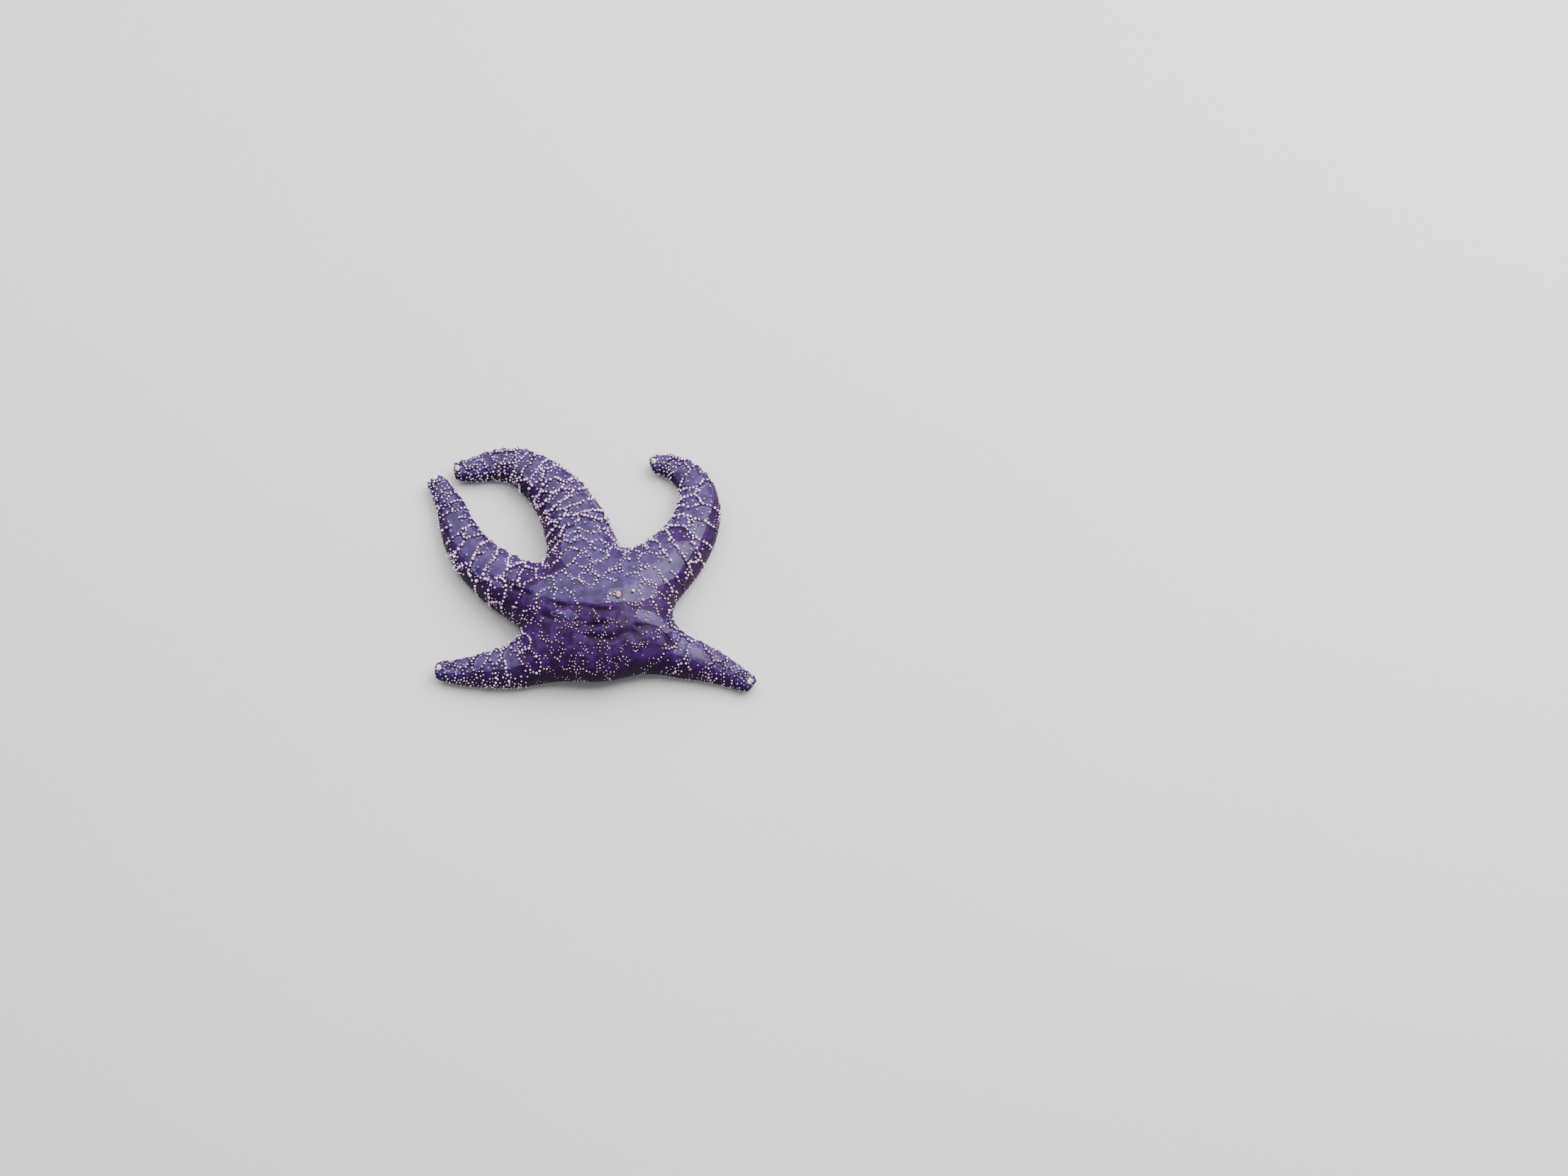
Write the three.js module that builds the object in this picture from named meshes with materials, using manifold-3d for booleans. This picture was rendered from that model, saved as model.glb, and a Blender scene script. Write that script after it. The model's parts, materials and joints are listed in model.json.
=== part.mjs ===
// Ochre sea star, life size, lying on a level floor with its five arms bent as in life.
// Millimetres, +Z up. The body is one smooth form: a low dome and five tapering arms that melt into it.
// Thin cuts part it into the disc and three lengths of each arm, and each length is its own node.
// The origin is under the middle of the whole animal, at the level of the floor.
import * as THREE from "three";
import { mergeVertices } from "three/addons/utils/BufferGeometryUtils.js";
import Module from "manifold-3d";

const wasm = await Module();
wasm.setup();

// ---- Driving dimensions ----------------------------------------------------------------------

// The disc is the middle of the body, without its arms.
const DISC_HALF_WIDTH = 36;
const DISC_HEIGHT = 27;
const DISC_SQUARENESS = 2.2; // 2 is an ellipse, and more is boxier
const DISC_SHIFT = -4.5; // its middle lies this far from where the arms' middle lines meet, along Y

// An arm narrows from where its sides would meet the centre to its tip, a little faster near the tip.
const ARM_ROOT_HALF_WIDTH = 20.4;
const ARM_TIP_HALF_WIDTH = 4.9;
const ARM_TAPER = 1.15;
const ARM_HEIGHT_SHARE = 0.65; // height over width
const ARM_SQUARENESS = 2.3;
const WIDEST_AT = 0.36; // share of the height where a section is widest
const FOOT_DEPTH = 1.5; // the lower half of a section would close this many of its depths down
const TIP_LIFT = 2.2; // an arm's tip is turned up off the floor by this
const TIP_LIFT_FROM = 0.86; // share of the arm's length where it starts to lift

// Webs of flesh where forms meet, and the share of an arm's length that takes part in them.
const DISC_WEB = 10;
const ARM_WEB = 5;
const ROOTS_END = 0.6;
const TIP_ROUNDING = 1.1; // how far from its end an arm starts to round off, in its tip's half widths

// Each arm's length, from the centre to the tip, and the bearing of its middle line at shares of that
// length, in degrees from +X. Between two stations the line is a round arc.
const ARMS = {
  a: {
    length: 127,
    stoutness: 1,
    bearings: [[0, 180], [0.25, 154], [0.5, 135], [0.75, 106], [1, 128]],
  },
  b: {
    length: 134.5,
    stoutness: 1.09,
    bearings: [[0, 108], [0.25, 100], [0.5, 122], [0.7, 145], [0.85, 198], [1, 186]],
  },
  c: {
    length: 126,
    stoutness: 1.04,
    bearings: [[0, 27], [0.25, 43], [0.5, 64], [0.7, 97], [0.85, 143], [1, 206]],
  },
  d: {
    length: 90,
    stoutness: 0.93,
    bearings: [[0, 309], [0.3, 335], [0.6, 345], [1, 322]],
  },
  e: {
    length: 93,
    stoutness: 0.96,
    bearings: [[0, 241], [0.3, 214], [0.6, 188], [1, 175]],
  },
};

// An arm is parted from the disc this far along it, clear of the notches between the arms, and the
// rest of it into three equal lengths.
const DISC_CUT = 44;
const CUT_REACH = 1.4; // half the cut's length, in the arm's half widths
const LENGTH_NAMES = ["base", "middle", "end"];
const CUT_GAP = 0.3;

// The furrow that holds the tube feet, under each arm.
const FURROW_HALF_WIDTH = 3.6;
const FURROW_DEPTH = 4.4;
const FURROW_AT_TIP = 0.35; // the furrow's size there, as a share of its size at the mouth

// The mouth's hollow, and the soft skin that closes it: a bowl hung upside down with a dimple in it.
const MOUTH_RADIUS = 7.5;
const MOUTH_DEPTH = 5.2;
const MOUTH_SKIN_PROFILE = [[0, 3.6], [1.6, 2.2], [4.2, 1.4], [5.8, 2.4], [5.2, 4.9], [0, 4.9]];

// The pale eye plate, an egg set on top of each arm just short of its tip.
const EYE_PLATE_HALF_SIZES = { along: 1.5, across: 2.2, up: 1.4 };
const EYE_PLATE_FROM_TIP = 4.4;
const EYE_PLATE_SINK = 0.6; // how deep its middle lies under the skin
const TIP_CUT = 1.8; // the flesh ends in a small flat this far short of the arm's full length

// The sieve plate, through which the animal takes in water.
const SIEVE_PLATE_RADIUS = 1.8;
const SIEVE_PLATE_HEIGHT = 1.5;
const SIEVE_PLATE_BEARING = -11;
const SIEVE_PLATE_FROM_CENTRE = 11;

// Blunt spines, in one row along an arm's crest and one along each shoulder.
const SPINE_RADIUS = 0.95;
const SPINE_HEIGHT = 1.5;
const SPINE_ROOT = 1.4; // how deep a spine is rooted
const SPINE_SIDES = 5;
const SPINE_PITCH = 6;
const SPINE_ROWS = [
  { angle: 90, from: 21 },
  { angle: 42, from: 36 },
  { angle: 138, from: 36 },
];
const SPINES_END = 0.92; // share of the arm's length
const SPINE_SIZE_AT_TIP = 0.7;

// How finely the skin is faceted.
const RING_SPACING = 4.6;
const TIP_CROWDING = 1.6;
const ARCH_POINTS = 10;
const DISC_BEARINGS = 84;
const DISC_LATITUDES = 10;
const DISC_LOWEST_LATITUDE = -16; // seen from the disc's core, the floor starts under this
const DISC_CROWDING = 1.6; // its latitudes crowd together low down, where the arms set out
const ROUND_SIDES = 16;

// ---- The arms' middle lines ------------------------------------------------------------------

const LINE_STEP = 1;
const radians = THREE.MathUtils.degToRad;
const lerp = THREE.MathUtils.lerp;

// A value between the stations of a table of [share, value].
function between(stations, share) {
  for (let i = 1; i < stations.length; i++) {
    const [from, low] = stations[i - 1];
    const [to, high] = stations[i];
    if (share <= to) return lerp(low, high, (share - from) / (to - from));
  }
  return stations.at(-1)[1];
}

// The middle line as points a step apart, from the disc's centre to the tip.
function middleLine({ length, bearings }) {
  const steps = Math.round(length / LINE_STEP);
  const step = length / steps;
  const points = [new THREE.Vector2(0, 0)];
  for (let i = 0; i < steps; i++) {
    const bearing = radians(between(bearings, (i + 0.5) / steps));
    const ahead = new THREE.Vector2(Math.cos(bearing), Math.sin(bearing));
    points.push(points[i].clone().addScaledVector(ahead, step));
  }
  return points;
}

const arms = Object.entries(ARMS).map(([name, arm]) => ({ name, ...arm, line: middleLine(arm) }));

function armHalfWidth(arm, share) {
  return arm.stoutness * lerp(ARM_ROOT_HALF_WIDTH, ARM_TIP_HALF_WIDTH, Math.min(1, share) ** ARM_TAPER);
}

function roundingFrom(arm) {
  return 1 - (TIP_ROUNDING * armHalfWidth(arm, 1)) / arm.length;
}

function armHeight(arm, share) {
  return 2 * armHalfWidth(arm, share) * ARM_HEIGHT_SHARE;
}

function armLift(share) {
  return TIP_LIFT * THREE.MathUtils.smoothstep(share, TIP_LIFT_FROM, 1);
}

// The place s millimetres along an arm: its point on the floor plan, its direction and its left side.
function placeOn(arm, s) {
  const share = s / arm.length;
  const bearing = radians(between(arm.bearings, Math.min(1, share)));
  const ahead = new THREE.Vector3(Math.cos(bearing), Math.sin(bearing), 0);
  const last = arm.line.length - 1;
  const index = Math.min(last - 1, Math.floor(share * last));
  const start = arm.line[index];
  const rest = s - (index * arm.length) / last;
  return {
    share,
    point: new THREE.Vector3(start.x, start.y, 0).addScaledVector(ahead, rest),
    ahead,
    left: new THREE.Vector3(-ahead.y, ahead.x, 0),
  };
}

// ---- The skin's form ---------------------------------------------------------------------------

// How far a point lies outside a rounded section, in about millimetres, and negative inside it.
// aside is the distance from the middle line, and up the height above the section's lowest level.
function outsideSection(aside, up, halfWidth, height, squareness) {
  const widest = WIDEST_AT * height;
  const reach = up > widest ? height - widest : widest * FOOT_DEPTH;
  const across = (aside / halfWidth) ** squareness;
  const upright = (Math.abs(up - widest) / reach) ** squareness;
  return halfWidth * ((across + upright) ** (1 / squareness) - 1);
}

// Distance on the floor plan to an arm's middle line, as far as a share of its length, and the share
// where that is nearest.
function nearestOn(arm, x, y, upTo) {
  const last = arm.line.length - 1;
  const end = Math.round(upTo * last);
  let aside = Infinity;
  let nearest = 0;
  for (let i = 0; i <= end; i++) {
    const away = Math.hypot(x - arm.line[i].x, y - arm.line[i].y);
    if (away < aside) [aside, nearest] = [away, i];
  }
  const [before, after] = [Math.max(0, nearest - 1), Math.min(end, nearest + 1)];
  const a = arm.line[before];
  const [dx, dy] = [arm.line[after].x - a.x, arm.line[after].y - a.y];
  const along = THREE.MathUtils.clamp(((x - a.x) * dx + (y - a.y) * dy) / (dx * dx + dy * dy), 0, 1);
  aside = Math.hypot(x - a.x - along * dx, y - a.y - along * dy);
  return { aside, share: lerp(before, after, along) / last };
}

function smoothLeast(a, b, web) {
  const overlap = Math.max(web - Math.abs(a - b), 0) / web;
  return Math.min(a, b) - (overlap * overlap * web) / 4;
}

// How far a point lies outside the body. One arm's skin feels the others only near their roots, so
// that two arms may lie close together without growing into each other.
function outside(p, armOfInterest) {
  const fromArms = arms
    .map((arm) => {
      const upTo = arm === armOfInterest ? roundingFrom(arm) : ROOTS_END;
      const { aside, share } = nearestOn(arm, p.x, p.y, upTo);
      const up = p.z - armLift(share);
      return outsideSection(aside, up, armHalfWidth(arm, share), armHeight(arm, share), ARM_SQUARENESS);
    })
    .sort((one, other) => one - other);
  const fromMiddle = Math.hypot(p.x, p.y - DISC_SHIFT);
  const fromDisc = outsideSection(fromMiddle, p.z, DISC_HALF_WIDTH, DISC_HEIGHT, DISC_SQUARENESS);
  return smoothLeast(smoothLeast(fromArms[0], fromArms[1], ARM_WEB), fromDisc, DISC_WEB);
}

const MARCH = 1.5;
const FAR = 100; // a line that is still inside this far on stops there
const HALVINGS = 12;

// The place where a straight line from inside the body comes out of its skin, or its far limit.
function skinAlong(from, direction, limit, arm) {
  const inside = (distance) => outside(from.clone().addScaledVector(direction, distance), arm) < 0;
  let [low, high] = [0, MARCH];
  while (high < limit && inside(high)) {
    low = high;
    high += MARCH;
  }
  if (high >= limit) return from.clone().addScaledVector(direction, limit);
  for (let i = 0; i < HALVINGS; i++) {
    const middle = (low + high) / 2;
    if (inside(middle)) low = middle;
    else high = middle;
  }
  return from.clone().addScaledVector(direction, low);
}

// The skin's place in the cross-section at s, seen from the section's core at an angle: 0 is level to
// the left, 90 straight up and 180 level to the right.
function skinOnArm(arm, s, angle) {
  const place = placeOn(arm, s);
  const core = place.point.clone();
  core.z = armLift(place.share) + WIDEST_AT * armHeight(arm, place.share);
  const direction = place.left.clone().multiplyScalar(Math.cos(radians(angle)));
  direction.z = Math.sin(radians(angle));
  return skinAlong(core, direction, FAR, arm);
}

const SLOPE_REACH = 0.4;

// The way out of the skin at a point on it.
function skinNormal(p, arm) {
  const slope = (axis) => {
    const step = new THREE.Vector3().setComponent(axis, SLOPE_REACH);
    return outside(p.clone().add(step), arm) - outside(p.clone().sub(step), arm);
  };
  return new THREE.Vector3(slope(0), slope(1), slope(2)).normalize();
}

// ---- Solids --------------------------------------------------------------------------------------

// A manifold-3d solid from a closed three.js geometry.
function solidFrom(geometry) {
  const bare = geometry.index ? geometry.toNonIndexed() : geometry.clone();
  const merged = mergeVertices(bare.deleteAttribute("normal").deleteAttribute("uv"), 1e-4);
  return new wasm.Manifold(
    new wasm.Mesh({
      numProp: 3,
      vertProperties: new Float32Array(merged.attributes.position.array),
      triVerts: new Uint32Array(merged.index.array),
    }),
  );
}

function geometryFrom(solid) {
  const mesh = solid.getMesh();
  const geometry = new THREE.BufferGeometry()
    .setAttribute("position", new THREE.BufferAttribute(new Float32Array(mesh.vertProperties), 3))
    .setIndex(new THREE.BufferAttribute(mesh.triVerts, 1));
  geometry.computeVertexNormals();
  return geometry;
}

function facets(points, triangles) {
  return new THREE.BufferGeometry().setFromPoints(points).setIndex(triangles);
}

// A closed skin through rings of equally many points, each turning left as seen from ahead of it,
// with a flat end at the first and the last ring.
function skinThrough(rings) {
  const around = rings[0].length;
  const points = rings.flat();
  const triangles = [];
  for (let r = 0; r + 1 < rings.length; r++) {
    for (let i = 0; i < around; i++) {
      const next = (i + 1) % around;
      const [a, b] = [r * around + i, r * around + next];
      triangles.push(a, b, b + around, a, b + around, a + around);
    }
  }
  for (const [ring, first] of [[rings[0], 0], [rings.at(-1), points.length - around]]) {
    const middle = ring.reduce((sum, p) => sum.add(p), new THREE.Vector3()).divideScalar(around);
    points.push(middle);
    for (let i = 0; i < around; i++) {
      const [here, next] = [first + i, first + ((i + 1) % around)];
      if (first) triangles.push(points.length - 1, here, next);
      else triangles.push(points.length - 1, next, here);
    }
  }
  return facets(points, triangles);
}

// The furrow's half width and depth, which shrink with the arm.
function furrowAt(arm, share) {
  const size = lerp(1, FURROW_AT_TIP, share) * arm.stoutness;
  return { half: FURROW_HALF_WIDTH * size, depth: FURROW_DEPTH * size };
}

// One ring of the arm's skin: the furrow, the flat that rests on the floor, the flank and the arch.
// aheadBy moves the whole ring along the arm without turning it.
function armRing(arm, s, aheadBy = 0) {
  const place = placeOn(arm, s);
  const lift = armLift(place.share);
  const widest = WIDEST_AT * armHeight(arm, place.share);
  const { half, depth } = furrowAt(arm, place.share);
  const at = (aside, up) => place.point.clone().addScaledVector(place.left, aside).setZ(lift + up);
  const sideways = (side, up) => skinAlong(at(0, up), place.left.clone().multiplyScalar(side), FAR, arm);
  const ring = [at(0, depth), at(half, 0), sideways(1, 0), sideways(1, widest / 2)];
  for (let i = 0; i <= ARCH_POINTS; i++) ring.push(skinOnArm(arm, s, (180 * i) / ARCH_POINTS));
  ring.push(sideways(-1, widest / 2), sideways(-1, 0), at(-half, 0));
  return ring.map((p) => p.addScaledVector(place.ahead, aheadBy));
}

// One length of an arm, from s to s, with a gap left for its neighbour at both ends. Its rings crowd
// together towards the tip, where the skin rounds off.
function armLength(arm, from, to, crowding) {
  const count = Math.max(2, Math.round((to - from) / RING_SPACING));
  const rings = [armRing(arm, from, CUT_GAP / 2)];
  for (let i = 1; i < count; i++) rings.push(armRing(arm, lerp(to, from, (1 - i / count) ** crowding)));
  rings.push(armRing(arm, to, -CUT_GAP / 2));
  return skinThrough(rings);
}

// The eye plate, or with a clearance the seat that is cut for it.
function eyePlate(arm, clearance = 0) {
  const { along, across, up } = EYE_PLATE_HALF_SIZES;
  const s = arm.length - EYE_PLATE_FROM_TIP;
  const { ahead } = placeOn(arm, s);
  const egg = new THREE.SphereGeometry(1, 8, 6)
    .scale(along + clearance, across + clearance, up + clearance)
    .translate(0, 0, -EYE_PLATE_SINK)
    .rotateZ(Math.atan2(ahead.y, ahead.x));
  return standOnSkin(egg, skinOnArm(arm, s, 90), arm);
}

// The body's middle, reaching a little way into each arm, with one point at the top and one below.
function discSkin() {
  const core = new THREE.Vector3(0, 0, WIDEST_AT * DISC_HEIGHT);
  const skinAt = (x, y, z) => skinAlong(core, new THREE.Vector3(x, y, z), FAR);
  const points = [];
  for (let i = 0; i < DISC_LATITUDES; i++) {
    const latitude = radians(lerp(DISC_LOWEST_LATITUDE, 90, (i / DISC_LATITUDES) ** DISC_CROWDING));
    for (let j = 0; j < DISC_BEARINGS; j++) {
      const bearing = (2 * Math.PI * j) / DISC_BEARINGS;
      const level = Math.cos(latitude);
      points.push(skinAt(level * Math.cos(bearing), level * Math.sin(bearing), Math.sin(latitude)));
    }
  }
  const [bottom, top] = [points.length, points.length + 1];
  points.push(skinAt(0, 0, -1), skinAt(0, 0, 1));
  const triangles = [];
  const at = (i, j) => i * DISC_BEARINGS + (j % DISC_BEARINGS);
  for (let j = 0; j < DISC_BEARINGS; j++) {
    for (let i = 0; i + 1 < DISC_LATITUDES; i++) {
      triangles.push(at(i, j), at(i, j + 1), at(i + 1, j + 1), at(i, j), at(i + 1, j + 1), at(i + 1, j));
    }
    triangles.push(bottom, at(0, j + 1), at(0, j));
    triangles.push(top, at(DISC_LATITUDES - 1, j), at(DISC_LATITUDES - 1, j + 1));
  }
  return facets(points, triangles);
}

// The room inside the five cuts, down to the floor: each cut runs straight across its arm, and the
// outline goes on to the next through the open notch between them.
function insideCuts() {
  const corners = arms.toReversed().flatMap((arm) => { // the arms are listed clockwise
    const place = placeOn(arm, DISC_CUT);
    const reach = CUT_REACH * armHalfWidth(arm, place.share);
    const middle = place.point.addScaledVector(place.ahead, -CUT_GAP / 2);
    return [-reach, reach].map((aside) => middle.clone().addScaledVector(place.left, aside));
  });
  const outline = new THREE.Shape(corners.map(({ x, y }) => new THREE.Vector2(x, y)));
  return new THREE.ExtrudeGeometry(outline, { depth: 2 * DISC_HEIGHT, bevelEnabled: false });
}

// The furrow's hollow under the disc, from the mouth to past the arm's cut.
function furrowHollow(arm) {
  const below = 1;
  const rings = [];
  const end = DISC_CUT + 2; // clear through the cut
  for (let s = 0; s < end + RING_SPACING; s += RING_SPACING) {
    const place = placeOn(arm, Math.min(s, end));
    const { half, depth } = furrowAt(arm, place.share);
    const wider = half * (1 + below / depth);
    const at = (aside, up) => place.point.clone().addScaledVector(place.left, aside).setZ(up);
    rings.push([at(wider, -below), at(0, depth), at(-wider, -below)]);
  }
  return skinThrough(rings);
}

// A round body about the upright axis, from a profile of [radius, height].
function turned(profile) {
  const points = profile.map(([radius, height]) => new THREE.Vector2(radius, height));
  return new THREE.LatheGeometry(points, ROUND_SIDES).rotateX(Math.PI / 2);
}

function mouthHollow() {
  return turned([[0, -1], [MOUTH_RADIUS * 1.1, -1], [MOUTH_RADIUS * 0.9, MOUTH_DEPTH], [0, MOUTH_DEPTH]]);
}

// ---- What grows on the skin ------------------------------------------------------------------------

const UP = new THREE.Vector3(0, 0, 1);

// Turns and moves a geometry made along +Z, so that it stands on the skin at a point.
function standOnSkin(geometry, point, arm) {
  const turn = new THREE.Quaternion().setFromUnitVectors(UP, skinNormal(point, arm));
  return geometry.applyQuaternion(turn).translate(point.x, point.y, point.z);
}

// A spine is a cone whose root widens on under the skin.
function spineAt(point, size, arm) {
  const height = SPINE_HEIGHT * size;
  const whole = height + SPINE_ROOT;
  const cone = new THREE.ConeGeometry((SPINE_RADIUS * size * whole) / height, whole, SPINE_SIDES);
  cone.rotateX(Math.PI / 2).translate(0, 0, height - whole / 2);
  return solidFrom(standOnSkin(cone, point, arm));
}

// Every spine between two places along an arm, clear of the cuts at both.
function spinesBetween(arm, from, to) {
  const clear = 2 * SPINE_RADIUS;
  const found = [];
  SPINE_ROWS.forEach((row, r) => {
    for (let s = row.from + ((r % 2) * SPINE_PITCH) / 2; s < SPINES_END * arm.length; s += SPINE_PITCH) {
      if (s < from + clear || s > to - clear) continue;
      found.push(spineAt(skinOnArm(arm, s, row.angle), lerp(1, SPINE_SIZE_AT_TIP, s / arm.length), arm));
    }
  });
  return found;
}

function withSpines(solid, spines) {
  return spines.reduce((body, spine) => body.add(spine), solid);
}

// The sieve plate's place on top of the disc.
function sievePlatePoint() {
  const bearing = radians(SIEVE_PLATE_BEARING);
  const from = new THREE.Vector3(Math.cos(bearing), Math.sin(bearing), 0);
  return skinAlong(from.multiplyScalar(SIEVE_PLATE_FROM_CENTRE).setZ(1), UP, FAR);
}

function sievePlate() {
  const [r, h] = [SIEVE_PLATE_RADIUS, SIEVE_PLATE_HEIGHT];
  return turned([[0, -h / 2], [r, -h / 2], [r, h * 0.1], [r * 0.8, h * 0.38], [r * 0.4, h / 2], [0, h / 2]]);
}

function sieveSeat() {
  const radius = SIEVE_PLATE_RADIUS + CUT_GAP;
  const height = SIEVE_PLATE_HEIGHT + 2 * CUT_GAP;
  return new THREE.CylinderGeometry(radius, radius, height, ROUND_SIDES).rotateX(Math.PI / 2);
}

// ---- The nodes -------------------------------------------------------------------------------------

const skinColour = new THREE.MeshStandardMaterial({ color: 0x4a2f6b, roughness: 0.35 });
const eyePlateColour = new THREE.MeshStandardMaterial({ color: 0xe3b9a4, roughness: 0.5 });
const sievePlateColour = new THREE.MeshStandardMaterial({ color: 0xd59a82, roughness: 0.7 });
const mouthColour = new THREE.MeshStandardMaterial({ color: 0xc9a184, roughness: 0.5 });

const star = new THREE.Group();

function addNode(name, geometry, material) {
  const mesh = new THREE.Mesh(geometry, material);
  mesh.name = name;
  star.add(mesh);
}

function disc() {
  let body = solidFrom(discSkin()).intersect(solidFrom(insideCuts()));
  for (const arm of arms) body = body.subtract(solidFrom(furrowHollow(arm)));
  body = body.subtract(solidFrom(mouthHollow()));
  for (const arm of arms) body = withSpines(body, spinesBetween(arm, 0, DISC_CUT));
  return body.subtract(solidFrom(standOnSkin(sieveSeat(), sievePlatePoint())));
}

addNode("disc", geometryFrom(disc()), skinColour);
addNode("mouth", turned(MOUTH_SKIN_PROFILE), mouthColour);
addNode("sieve_plate", standOnSkin(sievePlate(), sievePlatePoint()), sievePlateColour);
for (const arm of arms) {
  const end = arm.length - TIP_CUT;
  LENGTH_NAMES.forEach((part, i) => {
    const from = lerp(DISC_CUT, end, i / LENGTH_NAMES.length);
    const to = lerp(DISC_CUT, end, (i + 1) / LENGTH_NAMES.length);
    const skin = armLength(arm, from, to, part === "end" ? TIP_CROWDING : 1);
    const body = withSpines(solidFrom(skin), spinesBetween(arm, from, to));
    const seat = solidFrom(eyePlate(arm, CUT_GAP));
    addNode(`arm_${arm.name}_${part}`, geometryFrom(body.subtract(seat)), skinColour);
  });
  addNode(`eye_plate_${arm.name}`, eyePlate(arm), eyePlateColour);
}

// The origin goes under the middle of the animal's outer box.
const reach = new THREE.Box3().setFromObject(star, true);
star.position.set(-(reach.min.x + reach.max.x) / 2, -(reach.min.y + reach.max.y) / 2, 0);

export default star;
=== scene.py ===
"""The ochre sea star's looks: one wet violet skin over the body, chains of chalky blunt spines on it,
the limy plates, and the tube feet and small spines of the underside. Lengths are in metres."""

import json
import math

import bmesh
import bpy
import numpy as np
from mathutils import Matrix, Vector, kdtree, noise

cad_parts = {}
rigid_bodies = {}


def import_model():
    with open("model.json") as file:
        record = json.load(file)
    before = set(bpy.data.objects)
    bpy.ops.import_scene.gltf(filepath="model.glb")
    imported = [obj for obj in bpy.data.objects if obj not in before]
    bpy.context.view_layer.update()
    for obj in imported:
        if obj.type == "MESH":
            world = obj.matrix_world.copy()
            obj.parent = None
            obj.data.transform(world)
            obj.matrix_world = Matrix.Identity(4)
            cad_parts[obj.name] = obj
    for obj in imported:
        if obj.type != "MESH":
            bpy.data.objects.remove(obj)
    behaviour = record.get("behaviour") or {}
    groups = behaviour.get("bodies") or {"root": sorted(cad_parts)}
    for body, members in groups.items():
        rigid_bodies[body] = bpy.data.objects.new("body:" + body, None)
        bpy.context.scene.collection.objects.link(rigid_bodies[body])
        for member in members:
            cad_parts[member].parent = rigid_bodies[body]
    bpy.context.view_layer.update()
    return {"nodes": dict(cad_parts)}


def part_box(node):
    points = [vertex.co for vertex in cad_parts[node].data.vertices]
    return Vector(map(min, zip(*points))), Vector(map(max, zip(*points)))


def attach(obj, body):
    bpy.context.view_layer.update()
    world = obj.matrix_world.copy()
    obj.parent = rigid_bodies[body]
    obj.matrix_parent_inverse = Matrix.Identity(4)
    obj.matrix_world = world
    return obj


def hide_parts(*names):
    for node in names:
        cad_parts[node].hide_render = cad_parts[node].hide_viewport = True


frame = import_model()

# ---- Sizes ---------------------------------------------------------------------------------------

MM = 0.001
SEED = 5

FLESH = sorted(name for name in frame["nodes"] if name == "disc" or name.startswith("arm_"))
MOUTH_LOW, MOUTH_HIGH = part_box("mouth")
CENTRE = Vector(((MOUTH_LOW.x + MOUTH_HIGH.x) / 2, (MOUTH_LOW.y + MOUTH_HIGH.y) / 2, 0))

# Each arm's length, its stoutness, and the bearing of its middle line at shares of that length, in
# degrees from +X, as the solids have them.
ARMS = {
    "a": (127 * MM, 1.0, ((0, 180), (0.25, 154), (0.5, 135), (0.75, 106), (1, 128))),
    "b": (134.5 * MM, 1.09, ((0, 108), (0.25, 100), (0.5, 122), (0.7, 145), (0.85, 198), (1, 186))),
    "c": (126 * MM, 1.04, ((0, 27), (0.25, 43), (0.5, 64), (0.7, 97), (0.85, 143), (1, 206))),
    "d": (90 * MM, 0.93, ((0, 309), (0.3, 335), (0.6, 345), (1, 322))),
    "e": (93 * MM, 0.96, ((0, 241), (0.3, 214), (0.6, 188), (1, 175))),
}
ARM_HALF_WIDTHS = (20.4 * MM, 4.9 * MM)  # where its sides would meet the centre, and at its tip
LINE_STEP = 1 * MM

# The skin lies inside the flesh of the solids by the depth of its coat of spines.
COAT_DEPTH = 0.65 * MM
SOLE_HEIGHT = 0.55 * MM  # the skin of the underside is this far off the floor, on its small spines
SKIN_VOXEL = 0.74 * MM
SEAM_OVERLAP = 0.25 * MM  # each solid swells by this, so that the thin cuts between them close
SMOOTHING_ROUNDS = 45

# The net of small fields that the chains of spines part the skin into.
FIELD_SIZES = (6.8 * MM, 6.4 * MM, 3.8 * MM)  # on the disc, at an arm's base and at its tip
LOWER_DISC_FIELD = 4.6 * MM
LOWER_DISC = (-2 * MM, -11 * MM)  # from the centre, where the disc's upper half passes into it
# Where arm b's close chains run on over the disc, up, right and left from its centre.
CLOSE_UP, CLOSE_RIGHT, CLOSE_LEFT = (6 * MM, 12 * MM), (22 * MM, 13 * MM), (-26 * MM, -18 * MM)
FIELD_SCALES = np.array((1.05, 0.86, 1.1, 1.0, 0.9))  # how large the fields of arms a to e are
SPINE_SCALES = np.array((1.0, 1.0, 1.0, 0.8, 0.86))  # and how thick their spines
ARM_BEGINS = (28 * MM, 50 * MM)  # from the centre, where the disc's net passes into the arm's
SQUEEZE = 0.58  # an arm's fields are longer across it than along it by this
NET_WANDER, WANDER_SIZE = 1.3 * MM, 6 * MM
CLOSER_FIELDS = 0.12  # how much smaller the disc's are where arm b's close chains run on over it
BORDER_ODDS = 0.62  # of a border on the disc bearing spines
LUCK_TABLE = 4096

# Folds across the lower half of the disc: a crease's points in millimetres from the centre, its depth and
# its half width.
CREASES = (
    (((-52, 14), (-40, 7), (-30, -1), (-6, -9.5), (9, -11)), 1.9 * MM, 1.3 * MM),
    (((-27, -10), (-16, -15), (-4, -16.5), (6, -18)), 1.5 * MM, 1.4 * MM),
    (((21, -16), (30, -17), (39, -25)), 1.2 * MM, 1.4 * MM),
    (((-4, -23), (7, -24), (17, -20)), 1.2 * MM, 1.8 * MM),
)

# Where a film of water lies on the disc, in millimetres: its middle from the centre, half sizes, and turn
# in degrees. The film is glossy, and its lilac colour is a painted reflection of the sky.
DISC_FILMS = (
    ((0, 4), (32, 11), 0),
    ((-3, 26), (16, 16), 0),
    ((25, 17), (18, 12), 40),
    ((-12, -12.5), (9, 2.8), -14),
    ((26, -11.5), (7, 3), -12),
)
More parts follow.
